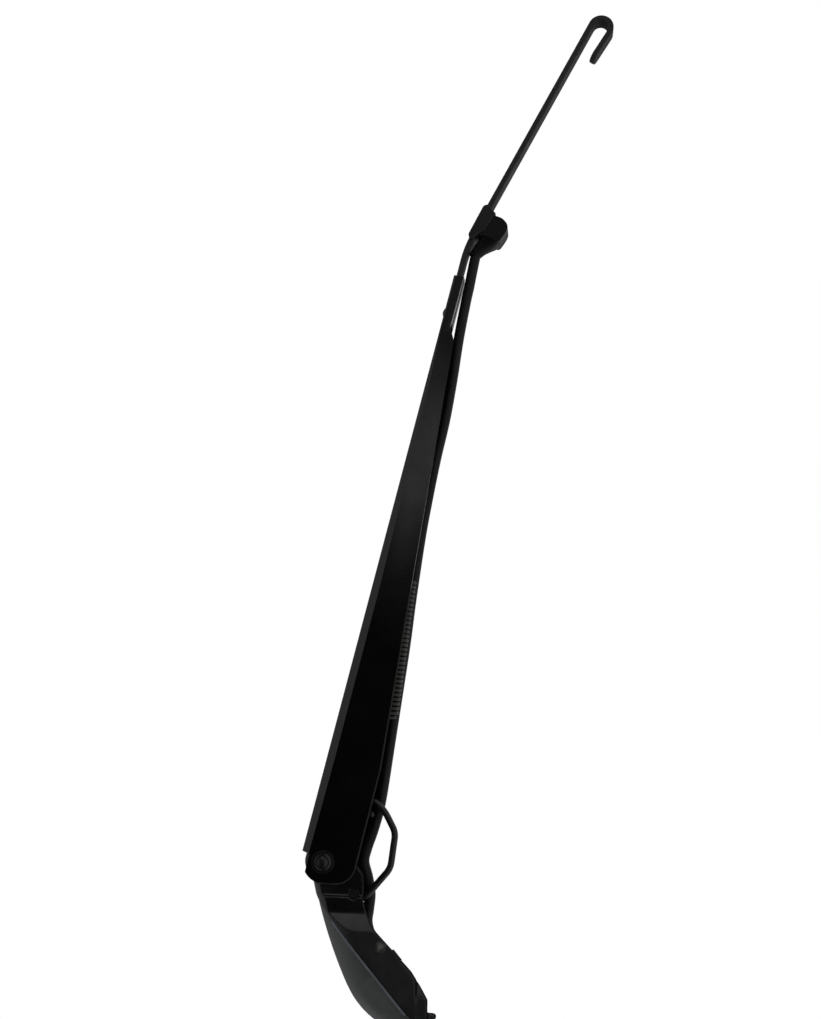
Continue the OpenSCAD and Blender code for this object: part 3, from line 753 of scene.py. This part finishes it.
def coil_spring():
    """Hook at the anchor pin, the coil, and a last turn that closes in"""
    path = []
    steps = COIL_TURNS * TURN_STEPS
    for i in range(steps + 1):
        a = 2 * math.pi * i / TURN_STEPS
        path.append((COIL_START + COIL_LENGTH * i / steps, COIL_Y + COIL_R * math.cos(a),
                     COIL_Z + COIL_R * math.sin(a)))
    for i in range(1, TAIL_STEPS + 1):
        a = 2 * math.pi * i / TURN_STEPS
        r = COIL_R - TAIL_SHRINK * i / TAIL_STEPS
        path.append((COIL_START + COIL_LENGTH + TAIL_LENGTH * i / TAIL_STEPS,
                     COIL_Y + r * math.cos(a), COIL_Z + r * math.sin(a)))
    hook = flowing([(COIL_START, COIL_Y + COIL_R, COIL_Z), (3.6, COIL_Y + 5.2, COIL_Z - 2.4),
                    (0.6, 0.4, -3.2), (-2.2, -1.6, -2.1), (-3.2, -2.4, 0.6), (-1.2, -2.6, 3)], 8)
    path = hook[:0:-1] + path
    return tube("coil_spring", [in_chain(*p) for p in path], SPRING_WIRE / 2, 10)


# Loop of the shank round the link's eye: how far along the line, and how far to each side
CROSS_X = (LINK - ANCHOR).length - LINK_REACH - EYE_R + (LINK_WIRE + SPRING_WIRE) / 2 + TOUCH
CROSS_Y = (LINK_WIRE + SPRING_WIRE) / 2 + 0.2


def spring_shank():
    """Straight end of the spring, from inside the coil to its loop in the link"""
    path = flowing([
        (62, 0.4, 0), (70, 0.4, 0), (78, 0.6, 0), (84, 1.8, 0.2), (90, CROSS_Y, 0.4),
        (104, CROSS_Y, 0), (CROSS_X - 5, CROSS_Y, 0), (CROSS_X - 1.4, CROSS_Y - 0.2, 0),
        (CROSS_X, CROSS_Y - 1.6, 0), (CROSS_X + 0.1, 0, 0), (CROSS_X, 1.6 - CROSS_Y, 0),
        (CROSS_X - 1.4, 0.2 - CROSS_Y, 0), (CROSS_X - 5, -CROSS_Y, 0)], 8)
    return tube("spring_shank", [in_chain(*p) for p in path], SPRING_WIRE / 2, 14)


finish_piece(coil_spring(), "spring_steel", "spring", "tension_spring")
finish_piece(spring_shank(), "spring_steel", "link")

# Bends of the link from its pin, in X and Z, and the cut that rounds them
LINK_CORNERS = [(45.4, -8.2), (40.6, -13.4), (30.1, -19.2), (12, -17), (-2, -5)]
LINK_CUT = 3.2


def around(centre, r, turns):
    """Places round a centre in X and Z, at turns in degrees"""
    return [centre + Vector((r * math.cos(a), 0, r * math.sin(a)))
            for a in map(math.radians, turns)]


def bent_link():
    """Wire from the eye that holds the spring, by its bends, round the link's pin"""
    pts = around(LINK + PULL * -LINK_REACH, EYE_R, range(210, -19, -38))
    pts += [LINK + Vector((x, 0, z)) for x, z in LINK_CORNERS]
    pts += around(LINK, (LINK_PIN + LINK_WIRE) / 2 + TOUCH, range(200, 29, -42))
    return tube("bent_link", eased([(p, LINK_CUT) for p in pts]), LINK_WIRE / 2, 16)


finish_piece(bent_link(), "link_steel", "link", "spring_link")

# CAD pieces whose shape stays, with their own finish
for name, slot in {
    "link_pin": "dark_steel", "hinge_bush_near": "bush_plastic", "hinge_bush_far": "bush_plastic",
    "feed_connector": "black_plastic", "rod_rivet": "black_paint",
    "spring_anchor_pin": "dark_steel", "hose_clip_front": "black_plastic",
    "hose_clip_mid": "black_plastic", "hose_clip_back": "black_plastic",
}.items():
    for s in nodes[name].material_slots:
        s.material = MATERIALS[slot]

finish_piece(rolled("hinge_rivet", "hinge_pin", 0.18, low=40), "dark_steel", "arm", "hinge_pin")

# Floor in metres, its share of light in reflections, and its share of plain white on camera
FLOOR_PLACE, FLOOR_R = (0.25, 0, -0.35), 2.2
FLOOR_IN_GLOSS = 0.25
WHITE_NEAR, WHITE_FAR, NEAR_REACH, FAR_REACH = 0.85, 1.0, 0.45, 0.7


def floor():
    """Pale disc that keeps the part's shadow near it and fades to white further out"""
    bm = bmesh.new()
    bmesh.ops.create_circle(bm, cap_ends=True, radius=FLOOR_R, segments=64)
    mesh = bpy.data.meshes.new("floor")
    bm.to_mesh(mesh)
    bm.free()
    obj = new_object("floor", mesh)
    obj.location = FLOOR_PLACE
    m = bpy.data.materials.new("pale_floor")
    m.use_nodes = True
    t = m.node_tree
    shader = t.nodes["Principled BSDF"]
    shader.inputs["Roughness"].default_value = 0.9
    shader.inputs["Specular IOR Level"].default_value = 0.2
    coord = t.nodes.new("ShaderNodeTexCoord").outputs["Object"]
    grain = ramp(t, noise(t, coord, 60, 4), [(0.2, (0.86, 0.86, 0.86)), (0.8, (0.9, 0.9, 0.9))])
    feed(t, shader.inputs["Base Color"], grain)
    rays = t.nodes.new("ShaderNodeLightPath")
    dimmed = maths(t, "MULTIPLY", rays.outputs["Is Glossy Ray"], FLOOR_IN_GLOSS)
    seen = maths(t, "MAXIMUM", rays.outputs["Is Camera Ray"], dimmed)
    reach = measured(t, "LENGTH", coord)
    share = maths(t, "MULTIPLY", seen,
                  spread(t, reach, WHITE_NEAR, WHITE_FAR, NEAR_REACH, FAR_REACH))
    white = t.nodes.new("ShaderNodeEmission")
    white.inputs["Strength"].default_value = 1.0
    mix = t.nodes.new("ShaderNodeMixShader")
    for socket, value in zip(mix.inputs, (share, shader.outputs[0], white.outputs[0])):
        feed(t, socket, value)
    feed(t, t.nodes["Material Output"].inputs["Surface"], mix.outputs[0])
    obj.data.materials.append(m)


# Room as the part reflects it: soft patches by direction and level, and its light elsewhere
GLOWS = [((0.71, -0.68, 0.16), 1.1), ((-0.7, 0.26, 0.66), 0.9)]
ROOM_LIGHT = 0.4


def glow(tree, way, aim, level):
    """Soft patch of the room in one direction"""
    ahead = measured(tree, "DOT_PRODUCT", way, Vector(aim).normalized())
    return spread(tree, ahead, 0, level, 0.95, 0.99)


def studio():
    """White on camera, soft patches in reflections and even light for the rest"""
    world = bpy.data.worlds.new("studio")
    bpy.context.scene.world = world
    world.use_nodes = True
    t = world.node_tree
    t.nodes.clear()
    sky = t.nodes.new("ShaderNodeTexCoord").outputs["Generated"]
    way = axes(t, sky)
    behind = spread(t, way["Y"], 0.006, 0.26, -0.12, 0.85)
    above = maths(t, "MULTIPLY", spread(t, way["Z"], 0.0, 0.5, 0.45, 0.85),
                  spread(t, way["Y"], 1.0, 0.6, -0.5, 0.2))
    room = maths(t, "MAXIMUM", behind, above)
    for aim, level in GLOWS:
        room = maths(t, "MAXIMUM", room, glow(t, sky, aim, level))
    rays = t.nodes.new("ShaderNodeLightPath").outputs
    mirrored = maths(t, "MAXIMUM", rays["Is Glossy Ray"], rays["Is Transmission Ray"])
    strength = between(t, rays["Is Camera Ray"], between(t, mirrored, ROOM_LIGHT, room), 1.0)
    back = t.nodes.new("ShaderNodeBackground")
    back.inputs["Color"].default_value = (1, 1, 1, 1)
    feed(t, back.inputs["Strength"], strength)
    feed(t, t.nodes.new("ShaderNodeOutputWorld").inputs["Surface"], back.outputs[0])


def lamp(name, place, target, size, power):
    """Square soft light, with its size in metres and its power in watts"""
    data = bpy.data.lights.new(name, "AREA")
    data.shape = "SQUARE"
    data.size = size
    data.energy = power
    obj = new_object(name, data)
    obj.location = place
    obj.rotation_euler = (Vector(target) - Vector(place)).to_track_quat("-Z", "Y").to_euler()
    return obj


studio()
floor()
aim_camera()
lamp("soft_top", (0.4, 0.35, 1.4), (0.25, 0, 0), 1.6, 9).visible_glossy = False
lamp("soft_front", (0.715, -1.43, 0.124), (0.29, 0, 0), 0.22, 0.2)
lamp("soft_side", (-1.1, 0.5, 0.5), (0.05, 0, 0.03), 1.0, 1.2)

scene = bpy.context.scene
scene.view_settings.view_transform = "Standard"
